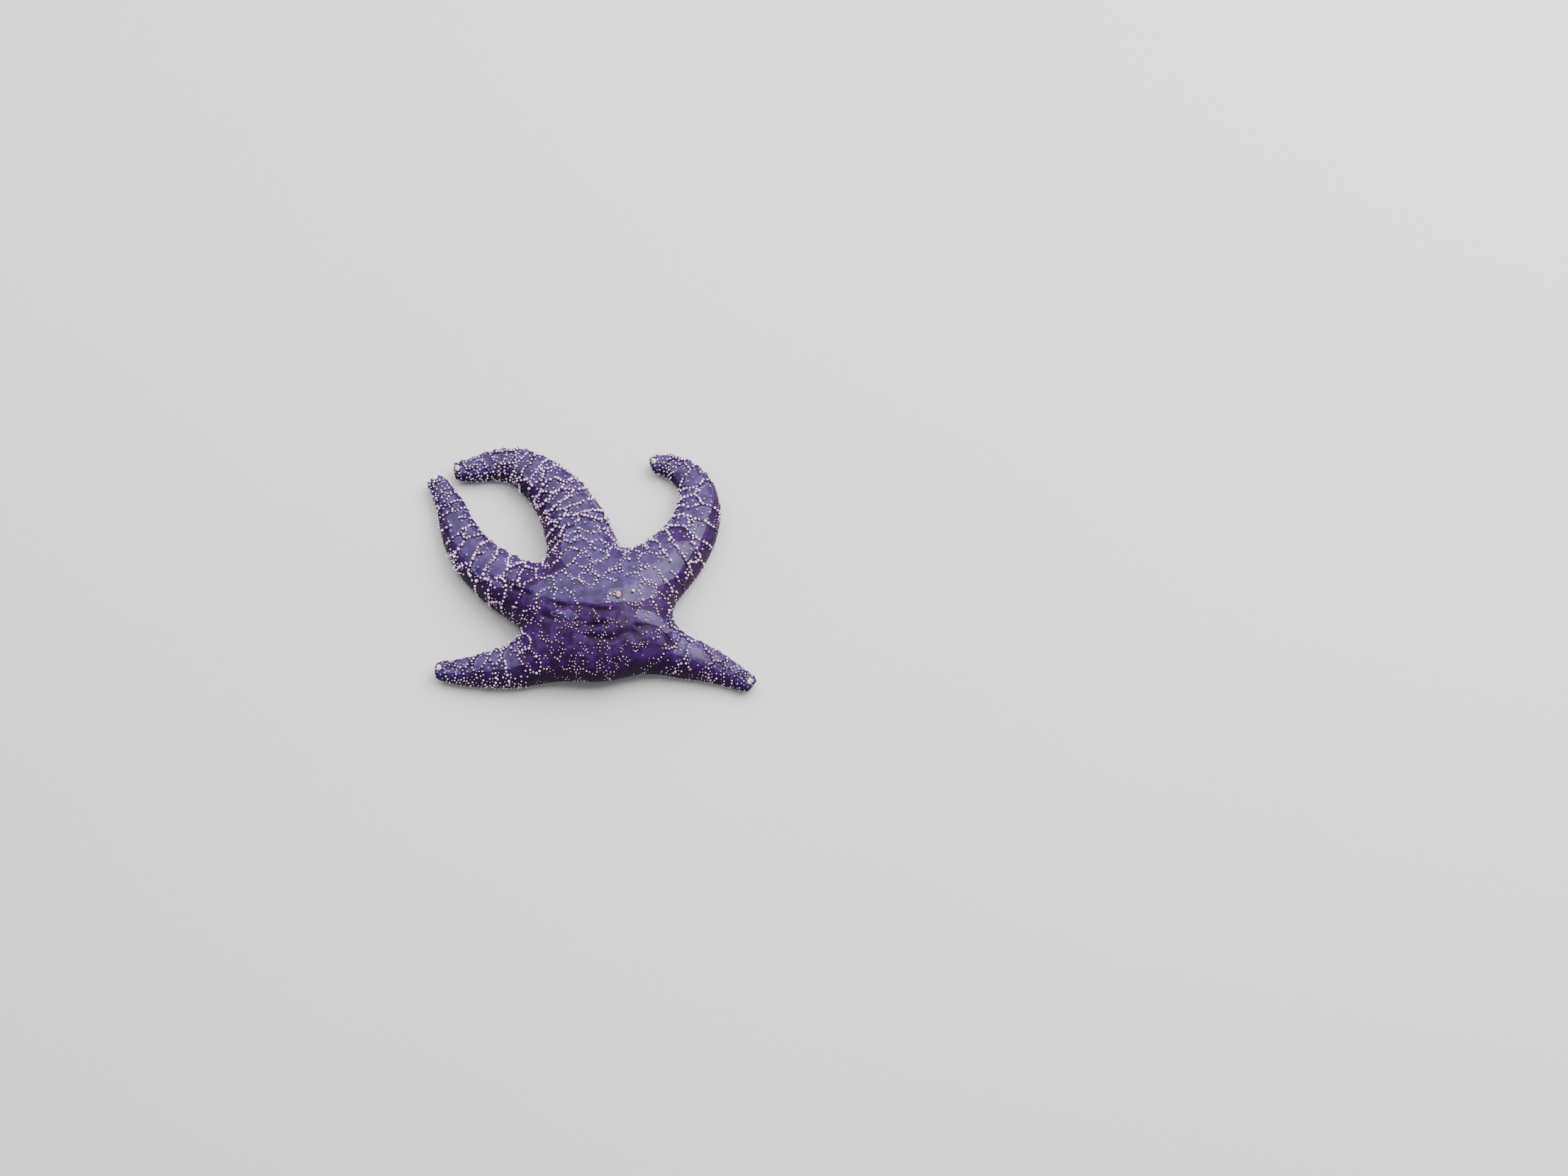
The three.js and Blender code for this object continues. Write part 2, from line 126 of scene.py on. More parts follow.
# Where it lies on each arm: the middle and half width of its band, in the arm's half widths to the left.
ARM_FILMS = {"a": (-0.05, 0.68), "b": (-0.12, 0.82), "c": (0.16, 0.78), "d": (0.2, 0.55), "e": (-0.1, 0.55)}
FILM_SLOPE = 10 * MM  # how much deeper into a film one half width of the arm leads
FILM_EDGE_UP, FILM_EDGE_SLOPE = 0.6, 14 * MM  # it ends where the skin's normal is lower than this
FILM_INSET = (0.6 * MM, 0.8 * MM)  # from a chain of spines, near the disc and far out on an arm
FILMED_FIELDS = 0.94  # the share of the fields that are wet
FILM_ROUNDS = 4

# The skin's small relief: a ridge under each chain of spines, with a hollow beside it.
RIDGE, RIDGE_HALF_WIDTH = 0.36 * MM, 0.9 * MM
HOLLOW, HOLLOW_HALF_WIDTH, HOLLOW_ASIDE = 0.16 * MM, 0.6 * MM, 1.5 * MM
DISC_RELIEF = 0.2  # how much of it is left on the smooth disc
SWELLS, SWELL_SIZE = 0.7 * MM, 13 * MM  # the disc's broad swells

# ---- Making and shaping meshes -------------------------------------------------------------------


def choose(*objects):
    """Selects only these, the first of them active."""
    bpy.ops.object.select_all(action="DESELECT")
    for each in objects:
        each.select_set(True)
    bpy.context.view_layer.objects.active = objects[0]


def modify(piece, kind, **settings):
    """Adds a modifier to the piece and applies it."""
    choose(piece)
    modifier = piece.modifiers.new(kind.title(), kind)
    for key, value in settings.items():
        setattr(modifier, key, value)
    bpy.ops.object.modifier_apply(modifier=modifier.name)


def points_of(mesh):
    flat = np.empty(3 * len(mesh.vertices))
    mesh.vertices.foreach_get("co", flat)
    return flat.reshape(-1, 3)


def normals_of(mesh):
    flat = np.empty(3 * len(mesh.vertices))
    mesh.vertices.foreach_get("normal", flat)
    return flat.reshape(-1, 3)


def move_points(mesh, points):
    mesh.vertices.foreach_set("co", points.ravel())
    mesh.update()


def edges_of(mesh):
    flat = np.empty(2 * len(mesh.edges), int)
    mesh.edges.foreach_get("vertices", flat)
    return flat.reshape(-1, 2)


def keep_value(mesh, name, values):
    """Stores one number for each point, which a material can read by this name."""
    mesh.attributes.new(name, "FLOAT", "POINT").data.foreach_set("value", values.astype(np.float32))


def spread_values(mesh, values, rounds):
    """Evens out one number, or one row of numbers, for each point along the mesh's edges."""
    a, b = edges_of(mesh).T
    degree = np.bincount(a, minlength=len(values)) + np.bincount(b, minlength=len(values))
    rows = values.reshape(len(values), -1).copy()
    for _ in range(rounds):
        for k in range(rows.shape[1]):
            total = np.bincount(a, rows[b, k], len(rows)) + np.bincount(b, rows[a, k], len(rows))
            rows[:, k] = (rows[:, k] + total / degree) / 2
    return rows.reshape(values.shape)


def smoothstep(low, high, value):
    """0 up to low, 1 from high on, and smooth between."""
    t = np.clip((value - low) / (high - low), 0, 1)
    return t * t * (3 - 2 * t)


# ---- The arms' middle lines ----------------------------------------------------------------------


def middle_line(length, bearings):
    """Points a step apart from the centre to the tip, and the unit vector ahead at each."""
    steps = round(length / LINE_STEP)
    shares = (np.arange(steps) + 0.5) / steps
    turn = np.radians(np.interp(shares, *zip(*bearings)))
    ahead = np.column_stack((np.cos(turn), np.sin(turn)))
    points = np.vstack((np.zeros(2), np.cumsum(ahead, axis=0) * length / steps)) + CENTRE[:2]
    return points, np.vstack((ahead, ahead[-1:]))


def arm_half_width(stoutness, share):
    return stoutness * (ARM_HALF_WIDTHS[0] + (ARM_HALF_WIDTHS[1] - ARM_HALF_WIDTHS[0]) * share)


def tree_of(points):
    tree = kdtree.KDTree(len(points))
    for i, point in enumerate(points):
        tree.insert(point, i)
    tree.balance()
    return tree


def from_centre(points):
    """The points as seen from above, from the middle of the disc."""
    return points[:, :2] - np.array(CENTRE[:2])


def lower_disc(points, along):
    """1 on the disc's fine-beaded lower half, 0 elsewhere."""
    return smoothstep(*LOWER_DISC, from_centre(points)[:, 1]) * (1 - along.on_arm)


def below_arm_b(points):
    """1 on the upper disc where arm b's close chains run on, 0 elsewhere."""
    x, y = from_centre(points).T
    return smoothstep(*CLOSE_UP, y) * smoothstep(*CLOSE_RIGHT, x) * smoothstep(*CLOSE_LEFT, x)


class Along:
    """Where each of many points lies on the arms: which arm, how far along it, and how far aside."""

    def __init__(self, points):
        count = len(points)
        self.breadth = np.full(count, np.inf)  # how far aside, in the arm's half widths
        self.arm = np.zeros(count, int)
        self.share = np.zeros(count)
        self.from_centre = np.zeros(count)
        self.aside = np.zeros(count)
        self.foot = np.zeros((count, 2))
        self.ahead = np.zeros((count, 2))
        for k, (length, stoutness, bearings) in enumerate(ARMS.values()):
            line, ahead = middle_line(length, bearings)
            shares = np.arange(len(line)) / (len(line) - 1)
            widths = arm_half_width(stoutness, shares)
            tree = tree_of(np.column_stack((line, np.zeros(len(line)))))
            found = np.array([tree.find((x, y, 0))[1] for x, y, _ in points])
            gap = points[:, :2] - line[found]
            breadth = np.hypot(*gap.T) / widths[found]
            won = breadth < self.breadth
            self.breadth[won] = breadth[won]
            self.arm[won] = k
            self.share[won] = shares[found[won]]
            self.from_centre[won] = shares[found[won]] * length
            self.ahead[won] = ahead[found[won]]
            self.foot[won] = line[found[won]]
            left = np.column_stack((-ahead[:, 1], ahead[:, 0]))
            self.aside[won] = np.einsum("ij,ij->i", gap[won], left[found[won]])
        self.on_arm = smoothstep(*ARM_BEGINS, self.from_centre)


# ---- The skin ------------------------------------------------------------------------------------


def flesh():
    """One closed mesh of the body's solids, grown together over the thin cuts between them."""
    lengths = []
    for name in FLESH:
        piece = bpy.data.objects.new("skin", frame["nodes"][name].data.copy())
        bpy.context.collection.objects.link(piece)
        choose(piece)
        bpy.ops.object.mode_set(mode="EDIT")
        bpy.ops.mesh.select_all(action="SELECT")
        bpy.ops.mesh.remove_doubles(threshold=0.001 * MM)
        bpy.ops.object.mode_set(mode="OBJECT")
        modify(piece, "DISPLACE", strength=SEAM_OVERLAP, mid_level=0)
        lengths.append(piece)
    choose(*lengths)
    bpy.ops.object.join()
    skin = bpy.context.object
    skin.name = skin.data.name = "skin"
    modify(skin, "REMESH", mode="VOXEL", voxel_size=SKIN_VOXEL)
    drop_loose_bits(skin)
    modify(skin, "SMOOTH", factor=0.6, iterations=SMOOTHING_ROUNDS)
    return skin


def drop_loose_bits(piece):
    """Keeps only what hangs together with the piece's highest point."""
    choose(piece)
    bpy.ops.object.mode_set(mode="EDIT")
    bpy.ops.mesh.select_mode(type="VERT")
    bpy.ops.mesh.select_all(action="DESELECT")
    bpy.ops.object.mode_set(mode="OBJECT")
    piece.data.vertices[int(points_of(piece.data)[:, 2].argmax())].select = True
    bpy.ops.object.mode_set(mode="EDIT")
    bpy.ops.mesh.select_linked()
    bpy.ops.mesh.select_all(action="INVERT")
    bpy.ops.mesh.delete(type="VERT")
    bpy.ops.object.mode_set(mode="OBJECT")


def unfold(skin):
    """Lays the skin out flat in two pieces, its back and its underside, and gives each point's place."""
    mesh = skin.data
    shape = bmesh.new()
    shape.from_mesh(mesh)
    for edge in shape.edges:
        one, other = edge.link_faces
        edge.seam = (one.normal.z > 0) != (other.normal.z > 0)
    shape.to_mesh(mesh)
    shape.free()
    mesh.uv_layers.new(name="OFBake")
    choose(skin)
    bpy.ops.object.mode_set(mode="EDIT")
    bpy.ops.mesh.select_all(action="SELECT")
    bpy.ops.uv.unwrap(method="CONFORMAL", margin=0.01)
    bpy.ops.object.mode_set(mode="OBJECT")
    flat = np.empty(2 * len(mesh.loops))
    mesh.uv_layers["OFBake"].data.foreach_get("uv", flat)
    corners = np.empty(len(mesh.loops), int)
    mesh.loops.foreach_get("vertex_index", corners)
    places = np.zeros((len(mesh.vertices), 2))
    places[corners] = flat.reshape(-1, 2)
    return places


def waves(points, size, seed=0):
    """Smooth noise from about -1 to 1 at each point, with features of this size."""
    shift = Vector((17.3, 5.1, 9.7)) * seed
    return np.array([noise.noise(Vector(p) + shift) for p in (points / size).tolist()])


def scatter(points, order, spacing):
    """Picks points in this order, each at least its own spacing from those picked before."""
    tree = tree_of(points)
    free = np.ones(len(points), bool)
    picked = []
    for i in order:
        if free[i]:
            picked.append(i)
            free[[j for _, j, _ in tree.find_range(points[i], spacing[i])]] = False
    return np.array(picked)


def distance_to_line(points, line):
    """How far each flat point is from a bent line."""
    best = np.full(len(points), np.inf)
    for a, b in zip(line, line[1:]):
        along = np.clip((points - a) @ (b - a) / ((b - a) @ (b - a)), 0, 1)
        best = np.minimum(best, np.hypot(*(points - a - along[:, None] * (b - a)).T))
    return best


class Net:
    """The fields between the chains of spines: each point's distance from the nearest border, in metres,
    whether spines stand along that border, and the luck of the point's own field, from 0 to 1."""

    def __init__(self, points, along, random):
        squeeze = 1 + (SQUEEZE - 1) * along.on_arm
        foot = np.column_stack((along.foot, np.zeros(len(points))))
        flat = foot + (points - foot) * squeeze[:, None]
        flat[:, 0] += NET_WANDER * waves(points, WANDER_SIZE, 1)
        flat[:, 1] += NET_WANDER * waves(points, WANDER_SIZE, 2)
        disc, base, tip = FIELD_SIZES
        size = base + (tip - base) * smoothstep(0.4, 1, along.share)
        disc = disc + (LOWER_DISC_FIELD - disc) * lower_disc(points, along)
        close = below_arm_b(points)
        disc *= 1 - CLOSER_FIELDS * close
        size = disc + (size * FIELD_SCALES[along.arm] - disc) * along.on_arm
        heart = scatter(flat, random.permutation(len(points)), size)
        tree = tree_of(flat[heart])
        found = np.array([[(j, d) for _, j, d in tree.find_n(p, 2)] for p in flat.tolist()])
        first, second = found[:, 0, 0].astype(int), found[:, 1, 0].astype(int)
        apart = flat[heart][second] - flat[heart][first]
        width = np.linalg.norm(apart, axis=1)
        self.border = (found[:, 1, 1] ** 2 - found[:, 0, 1] ** 2) / (2 * width)
        pair = np.minimum(first, second) * 8191 + np.maximum(first, second) * 127  # the same for both sides
        luck = random.random(LUCK_TABLE)[pair % LUCK_TABLE]
        across = np.abs(np.einsum("ij,ij->i", apart[:, :2], along.ahead)) / width
        odds = BORDER_ODDS + along.on_arm * (0.4 * across - 0.07)
        odds += 0.22 * close * (1 - along.on_arm) - 0.1 * lower_disc(points, along)
        self.spined = luck < odds
        self.field_luck = random.random(len(heart))[first]


def film_on(points, along, net, up):
    """How far inside the film of water each point lies, in metres, or outside it when negative: the skin's
    material makes the film glossy and paints the sky's reflection into it.
    """
    crest = np.full(len(points), -1.0)
    for k, name in enumerate(ARMS):
        middle, half = ARM_FILMS[name]
        here = along.arm == k
        side = np.sign(along.aside[here]) * along.breadth[here]
        crest[here] = (half - np.abs(side - middle)) * FILM_SLOPE
    crest += 1.6 * MM * waves(points, 9 * MM, 9)
    near, far = FILM_INSET
    inset = near + (far - near) * smoothstep(50 * MM, 75 * MM, along.from_centre)
    by_field = np.where(net.spined, net.border - inset, 1 * MM)
    by_field = np.where(net.field_luck < FILMED_FIELDS, by_field, -1 * MM)
    on_arms = np.minimum.reduce((crest, by_field, (up - FILM_EDGE_UP) * FILM_EDGE_SLOPE))
    on_disc = np.full(len(points), -1.0)
    for middle, (long, short), turn in DISC_FILMS:
        gap = from_centre(points) / MM - middle
        c, s = math.cos(math.radians(turn)), math.sin(math.radians(turn))
        inside = 1 - np.hypot((gap @ (c, s)) / long, (gap @ (-s, c)) / short)
        on_disc = np.maximum(on_disc, inside * short * MM)
    on_disc += 2.2 * MM * waves(points, 8 * MM, 10)
    # The disc's films run on over its chains, apart from the close ones below arm b.
    on_disc = np.minimum(on_disc, by_field + 6 * MM * (1 - below_arm_b(points)))
    film = on_disc + (on_arms - on_disc) * along.on_arm
    return film + 0.75 * MM * waves(points, 3.2 * MM, 3) + 0.3 * MM * waves(points, 1.4 * MM, 11)


def relief(points, along, net, up):
    """How far the skin stands out at each point, and how deep it lies in a crease, from 0 to 1, for the
    skin's painted shade there.
    """
    ridge = np.exp(-((net.border / RIDGE_HALF_WIDTH) ** 2)) * net.spined
    hollow = np.exp(-(((net.border - HOLLOW_ASIDE) / HOLLOW_HALF_WIDTH) ** 2)) * net.spined
    small = (RIDGE * ridge - HOLLOW * hollow) * (DISC_RELIEF + (1 - DISC_RELIEF) * along.on_arm)
    small += 0.1 * MM * waves(points, 2.4 * MM, 4)
    broad = SWELLS * waves(points, SWELL_SIZE, 5) * (1 - along.on_arm)
    flat = from_centre(points)
    crease = np.zeros(len(points))
    for k, (line, depth, half) in enumerate(CREASES):
        wander = 2.2 * MM * waves(points, 8 * MM, 20 + k)
        uneven = np.clip(0.6 + 1.1 * waves(points, 9 * MM, 30 + k), 0.1, 1.2)
        far = distance_to_line(flat + wander[:, None], np.array(line) * MM)
        here = uneven * np.exp(-((far / half) ** 2))
        broad -= depth * here
        crease = np.maximum(crease, here)
    return (small + broad) * smoothstep(-0.35, 0.25, up), np.minimum(crease, 1)


# ---- Shapes that repeat --------------------------------------------------------------------------

PATCH_RADIUS = 0.0015  # of one spine's patch on the skin's own unwrap

# Profiles of (radius, height), for a spine a unit thick at its knob.
KNOB_SPINE = (
    (0.46, -0.35),
    (0.38, 0.02),
    (0.42, 0.24),
    (0.5, 0.46),
    (0.49, 0.68),
    (0.36, 0.89),
    (0.16, 1.0),
    (0.02, 1.02),
)
BEAD = ((0.5, -0.3), (0.5, 0.15), (0.32, 0.42), (0.02, 0.52))
BEAD_HEIGHT = BEAD[-1][1]
GRANULE = ((0.5, -0.2), (0.46, 0.3), (0.2, 0.62), (0.02, 0.66))
SUCKER_FOOT = ((0.36, 0), (0.3, 0.35), (0.3, 0.72), (0.5, 0.9), (0.48, 1), (0.2, 0.97), (0.02, 0.93))


def turned(name, profile, sides):
    """A round shape drawn up ring by ring from a circle, closed at the top: profile is (radius, height)."""
    bpy.ops.object.select_all(action="DESELECT")
    radius, height = profile[0]
    bpy.ops.mesh.primitive_circle_add(vertices=sides, radius=radius, location=(0, 0, height))
    shape = bpy.context.object
    shape.name = shape.data.name = name
    bpy.ops.object.transform_apply()
    bpy.ops.object.mode_set(mode="EDIT")
    for wider, higher in profile[1:]:
        bpy.ops.mesh.extrude_region_move(TRANSFORM_OT_translate={"value": (0, 0, higher - height)})
        scale = wider / radius
        bpy.ops.transform.resize(value=(scale, scale, 1), center_override=(0, 0, higher))
        radius, height = wider, higher
    bpy.ops.mesh.merge(type="CENTER")
    bpy.ops.mesh.select_all(action="SELECT")
    bpy.ops.mesh.normals_make_consistent(inside=False)
    bpy.ops.object.mode_set(mode="OBJECT")
    return shape


def shape_of(piece):
    """A modelled shape's points and faces, and then the piece is gone."""
    points = points_of(piece.data)
    faces = [tuple(face.vertices) for face in piece.data.polygons]
    bpy.data.objects.remove(piece)
    return points, faces


def ball(name, segments, rings):
    """A sphere of radius 1, to be shaped."""
    bpy.ops.object.select_all(action="DESELECT")
    bpy.ops.mesh.primitive_uv_sphere_add(segments=segments, ring_count=rings, radius=1)
    made = bpy.context.object
    made.name = made.data.name = name
    return made


def round_places(points):
    """Each point's angle round the upright axis, and how far out from it the point is."""
    return np.arctan2(points[:, 1], points[:, 0]), np.hypot(points[:, 0], points[:, 1])


def array_of(name, shape, roots, normals, sizes, patches, random, tones=None, heights=None):
    """One mesh of many copies of a shape, each standing at its root along its normal."""
    points, faces = shape
    count, each = len(roots), len(points)
    aside = np.cross(normals, random.normal(size=(count, 3)))
    aside /= np.linalg.norm(aside, axis=1)[:, None]
    turns = np.stack((aside, np.cross(normals, aside), normals), axis=1)
    scale = np.repeat(sizes[:, None], 3, axis=1)
    if heights is not None:
        scale[:, 2] = heights
    placed = roots[:, None] + np.einsum("npk,nkj->npj", points[None] * scale[:, None], turns)
    mesh = bpy.data.meshes.new(name)
    corners = np.array([corner for face in faces for corner in face])
    sides = np.array([len(face) for face in faces])
    mesh.vertices.add(count * each)
    mesh.vertices.foreach_set("co", placed.ravel())
    mesh.loops.add(count * len(corners))
    all_corners = (corners[None] + each * np.arange(count)[:, None]).ravel()
    mesh.loops.foreach_set("vertex_index", all_corners)
    mesh.polygons.add(count * len(faces))
    starts = np.concatenate(((0,), np.cumsum(sides)[:-1]))
    all_starts = (starts[None] + len(corners) * np.arange(count)[:, None]).ravel()
    mesh.polygons.foreach_set("loop_start", all_starts)
    mesh.update(calc_edges=True)
    mesh.shade_smooth()
    rise = (points[:, 2] - points[:, 2].min()) / np.ptp(points[:, 2])
    keep_value(mesh, "rise", np.tile(rise, count))
    keep_value(mesh, "tone", np.repeat(random.random(count) if tones is None else tones, each))
    around, _ = round_places(points)
    outwards = PATCH_RADIUS * (1 - 0.9 * rise)
    petal = np.column_stack((np.cos(around), np.sin(around))) * outwards[:, None]
    places = (patches[:, None] + petal[None]).reshape(-1, 2)
    mesh.uv_layers.new(name="OFBake").data.foreach_set("uv", places[all_corners].ravel())
    piece = bpy.data.objects.new(name, mesh)
    bpy.context.collection.objects.link(piece)
    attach(piece, "root")
    return piece


def tilted(normals, lean, random):
    """The normals, each leaning a little its own way."""
    leaning = normals + lean * random.normal(size=normals.shape)
    return leaning / np.linalg.norm(leaning, axis=1)[:, None]


# ---- Spines on the back --------------------------------------------------------------------------

LOWEST_ROOT = 1.2 * MM
CHAIN_HALF_WIDTH = 0.42 * MM  # of the strip along a border where its chain stands
PATCH_SIZE = 7 * MM  # of the patches of skin that are more or less crowded
FLANK_UP = 0.62  # a flank's normal is lower than this
SKIRT_UP = (-0.75, -0.25)  # and the skirt's, under the rim, lies between these
SKIRT_HEIGHTS = (1.5 * MM, 3.5 * MM)
RIM_HEIGHT = 2.2 * MM
TIP_BEGINS = 0.86  # as a share of the arm

# How far apart the spines of each kind stand, and how thick a plain spine is, in millimetres.
CHAIN_PITCH, CHAIN_GAP, PLAIN_GAP = 1.42, 1.1, 1.2
TIP_GAP, RIM_GAP, SIDE_GAP, FLANK_GAP, LOOSE_GAP = 1.85, 1.7, 1.35, 2.3, 3.3
CHAIN_THICK, PLAIN_THICK = 1.3, 1.2
THINNEST, THICKEST = 0.45, 1.75

GRANULE_STRIP = 1.1 * MM
GRANULE_GAP = 1.4 * MM
GRANULE_SIZES = (0.3 * MM, 0.55 * MM)


def back_spines(points, normals, along, net, random):
    """Chains of blunt spines along the net's borders, with loose ones between them: which points bear
    one, and how thick a spine on each point is."""
    up, z = normals[:, 2], points[:, 2]
    back = (up > SKIRT_UP[1]) & (z > LOWEST_ROOT)
    skirt = (up <= SKIRT_UP[1]) & (up > SKIRT_UP[0]) & (z > SKIRT_HEIGHTS[0]) & (z < SKIRT_HEIGHTS[1])
    skirt &= along.breadth > 0.6
    on_arm = along.on_arm
    tipward = smoothstep(0.55, 1, along.share)
    fine = lower_disc(points, along)
    luck = random.random(len(points))
    patchy = waves(points, PATCH_SIZE, 7)

    bare = (up < 0.6) & (patchy < 0) & (along.share < 0.75) & (on_arm > 0.15)
    chain = back & net.spined & (net.border < CHAIN_HALF_WIDTH) & ~bare
    chain_order = np.flatnonzero(chain)[np.argsort(net.border[chain] + 0.1 * MM * luck[chain])]
    pitch = CHAIN_PITCH + 0.14 * (1 - on_arm) - 0.25 * tipward + 0.15 * patchy - 0.25 * fine
    chained = scatter(points, chain_order, pitch * MM)  # along the borders, one after another

    beside = back & ~chain & (net.border > 0.8 * MM) & (net.border < 1.6 * MM) & net.spined
    crowded = patchy + 0.3 * luck > 0.36 - 0.12 * (along.arm == 1)
    side = random.permutation(np.flatnonzero(beside & crowded))
    on_flank = back & (up < FLANK_UP) & (on_arm > 0.2)
    open_skin = back & ~on_flank & (net.border > 1.9 * MM) & (patchy < -0.1)
    open_skin &= below_arm_b(points) * (1 - on_arm) < 0.5
    loose = random.permutation(np.flatnonzero(open_skin))
    flank = random.permutation(np.flatnonzero(on_flank & (luck > 0.25) & (patchy > 0.22)))
    at_tip = random.permutation(np.flatnonzero(back & (along.share > TIP_BEGINS)))
    margin = np.flatnonzero(back & (np.abs(z - RIM_HEIGHT) < 0.5 * MM) & (patchy > -0.35))
    rim = np.concatenate((random.permutation(margin), random.permutation(np.flatnonzero(skirt))))
    gap = np.full(len(points), PLAIN_GAP)
    gap[loose] = LOOSE_GAP + 1.6 * (1 - on_arm[loose])
    gap[flank] = FLANK_GAP
    gap[side] = SIDE_GAP
    gap[at_tip] = TIP_GAP
    gap[rim] = RIM_GAP
    gap[chained] = CHAIN_GAP
    picked = scatter(points, np.concatenate((chained, at_tip, rim, side, flank, loose)), gap * MM)

    thick = PLAIN_THICK + 0.15 * random.normal(size=len(points))
    thick[flank] *= 0.85
    thick[side] *= random.uniform(0.5, 0.85, len(side))
    thick[loose] *= 0.65
    thick[chained] = CHAIN_THICK + 0.18 * random.normal(size=len(chained))
    thick *= 1 - 0.38 * tipward
    thick *= SPINE_SCALES[along.arm] ** on_arm
    by_root = smoothstep(70 * MM, 45 * MM, along.from_centre)
    thick *= 1 - (0.2 + 0.15 * by_root) * smoothstep(0.7, 0.0, up)
    thick *= 1 - 0.2 * (1 - on_arm) - 0.27 * fine
    return picked, np.clip(thick, THINNEST, THICKEST) * MM


def granules(points, surface, normals, net, picked, patches, random):
    """Tiny pincers and beads of skin crowding round the spines, along the chains."""
    near_chain = net.spined & (net.border < GRANULE_STRIP)
    near_chain &= (normals[:, 2] > -0.2) & (points[:, 2] > LOWEST_ROOT)
    order = np.concatenate((picked, random.permutation(np.flatnonzero(near_chain))))
    found = np.setdiff1d(scatter(points, order, np.full(len(points), GRANULE_GAP)), picked)
    sizes = random.uniform(*GRANULE_SIZES, len(found))
    ways = tilted(normals[found], 0.15, random)
    shape = shape_of(turned("granule", GRANULE, 6))
    piece = array_of("granules", shape, surface[found], ways, sizes, patches[found], random)
    return piece


# ---- The underside -------------------------------------------------------------------------------

FURROW_HALF_WIDTH = 3.6 * MM
FURROW_AT_TIP = 0.35
MOUTH_RADIUS = 7.5 * MM
MOUTH_SPREAD = 1.2  # its skin runs under the edge of the animal's own
MOUTH_SPINES, MOUTH_SPINE_THICK = 35, 1.5 * MM
MOUTH_SPINE_OUT, MOUTH_SPINE_HEIGHT = MOUTH_RADIUS + 0.8 * MM, 0.8 * MM
MOUTH_PLEATS = 25
# Each row's place aside, in the furrow's half widths, where it begins, and how high its feet reach.
FOOT_ROWS = ((0.34, 9 * MM, 3.1 * MM), (0.72, 9.9 * MM, 1.6 * MM))
FOOT_STEP, FOOT_JITTER = 1.75 * MM, 0.15 * MM
FOOT_SUNK = 0.6 * MM  # into the roof of the furrow
FURROW_SPINE_ROWS = ((1.02, 10 * MM), (1.3, 10.8 * MM))
FURROW_SPINE_STEP = 1.5 * MM
FURROW_SPINE_HEIGHT = 0.66 * MM
SLIM = (0.85, 1.35)  # a slim spine's width and height, beside its size
SOLE_SPINE_GAP, SOLE_SPINE_THICK = 2.1 * MM, 1.1 * MM
SOLE_CLEARANCE = 0.06 * MM  # of the small spines over the floor


def furrow_places(first, step, aside, ends=6 * MM):
    """Along both sides of every arm's furrow: a point on the floor, ahead, aside, and the furrow's size."""
    for length, stoutness, bearings in ARMS.values():
        line, ahead = middle_line(length, bearings)
        for s in np.arange(first, length - ends, step):
            share = s / length
            size = stoutness * (1 + (FURROW_AT_TIP - 1) * share)
            k = min(len(line) - 1, round(share * (len(line) - 1)))
            left = np.array((-ahead[k, 1], ahead[k, 0]))
            for side in (-1, 1):
                place = line[k] + side * left * aside * size * FURROW_HALF_WIDTH
                yield place, ahead[k], side * left, size


def nearest_patches(roots, skin_tree, patches):
    """The place on the skin's unwrap that is nearest to each root."""
    return patches[[skin_tree.find(root)[1] for root in roots.tolist()]]


def tube_feet(skin_tree, patches, random):
    """Two staggered rows of tube feet along each side of every furrow, down to the floor."""
    roots, lengths, thick = [], [], []
    for aside, first, height in FOOT_ROWS:
        for place, _, _, size in furrow_places(first, FOOT_STEP, aside):
            top = height * size + FOOT_SUNK
            roots.append((*(place + FOOT_JITTER * random.normal(size=2)), top))
            lengths.append(top - 2 * SOLE_CLEARANCE)
            thick.append((0.55 + 0.75 * size) * MM)
    roots, lengths = np.array(roots), np.array(lengths)
    down = np.tile((0.0, 0.0, -1.0), (len(roots), 1))
    shape = shape_of(turned("foot", SUCKER_FOOT, 8))
    near = nearest_patches(roots, skin_tree, patches)
    piece = array_of("tube_feet", shape, roots, down, np.array(thick), near, random, heights=lengths)
    return piece


def furrow_spines(shape, skin_tree, patches, random):
    """Slim spines that lie flat over each furrow's edge and point out from it, and a ring of larger ones
    that point in over the mouth."""
    roots, ways, sizes = [], [], []
    for aside, first in FURROW_SPINE_ROWS:
        for place, ahead, side, size in furrow_places(first, FURROW_SPINE_STEP, aside):
            roots.append((*place, FURROW_SPINE_HEIGHT))
            way = np.array((*(side + 0.2 * ahead), -0.18))
            ways.append(way / np.linalg.norm(way))
            sizes.append((0.45 + 0.35 * size) * MM)
    for turn in np.arange(MOUTH_SPINES) * math.tau / MOUTH_SPINES:
        out = np.array((math.cos(turn), math.sin(turn)))
        roots.append((*(np.array(CENTRE[:2]) + MOUTH_SPINE_OUT * out), MOUTH_SPINE_HEIGHT))
        ways.append(np.array((*(-out), -0.1)) / math.hypot(1, 0.1))
        sizes.append(MOUTH_SPINE_THICK)
    roots, ways, sizes = np.array(roots), np.array(ways), np.array(sizes)
    near = nearest_patches(roots, skin_tree, patches)
    thin, tall = (scale * sizes for scale in SLIM)
    piece = array_of("furrow_spines", shape, roots, ways, thin, near, random, heights=tall)
    return piece


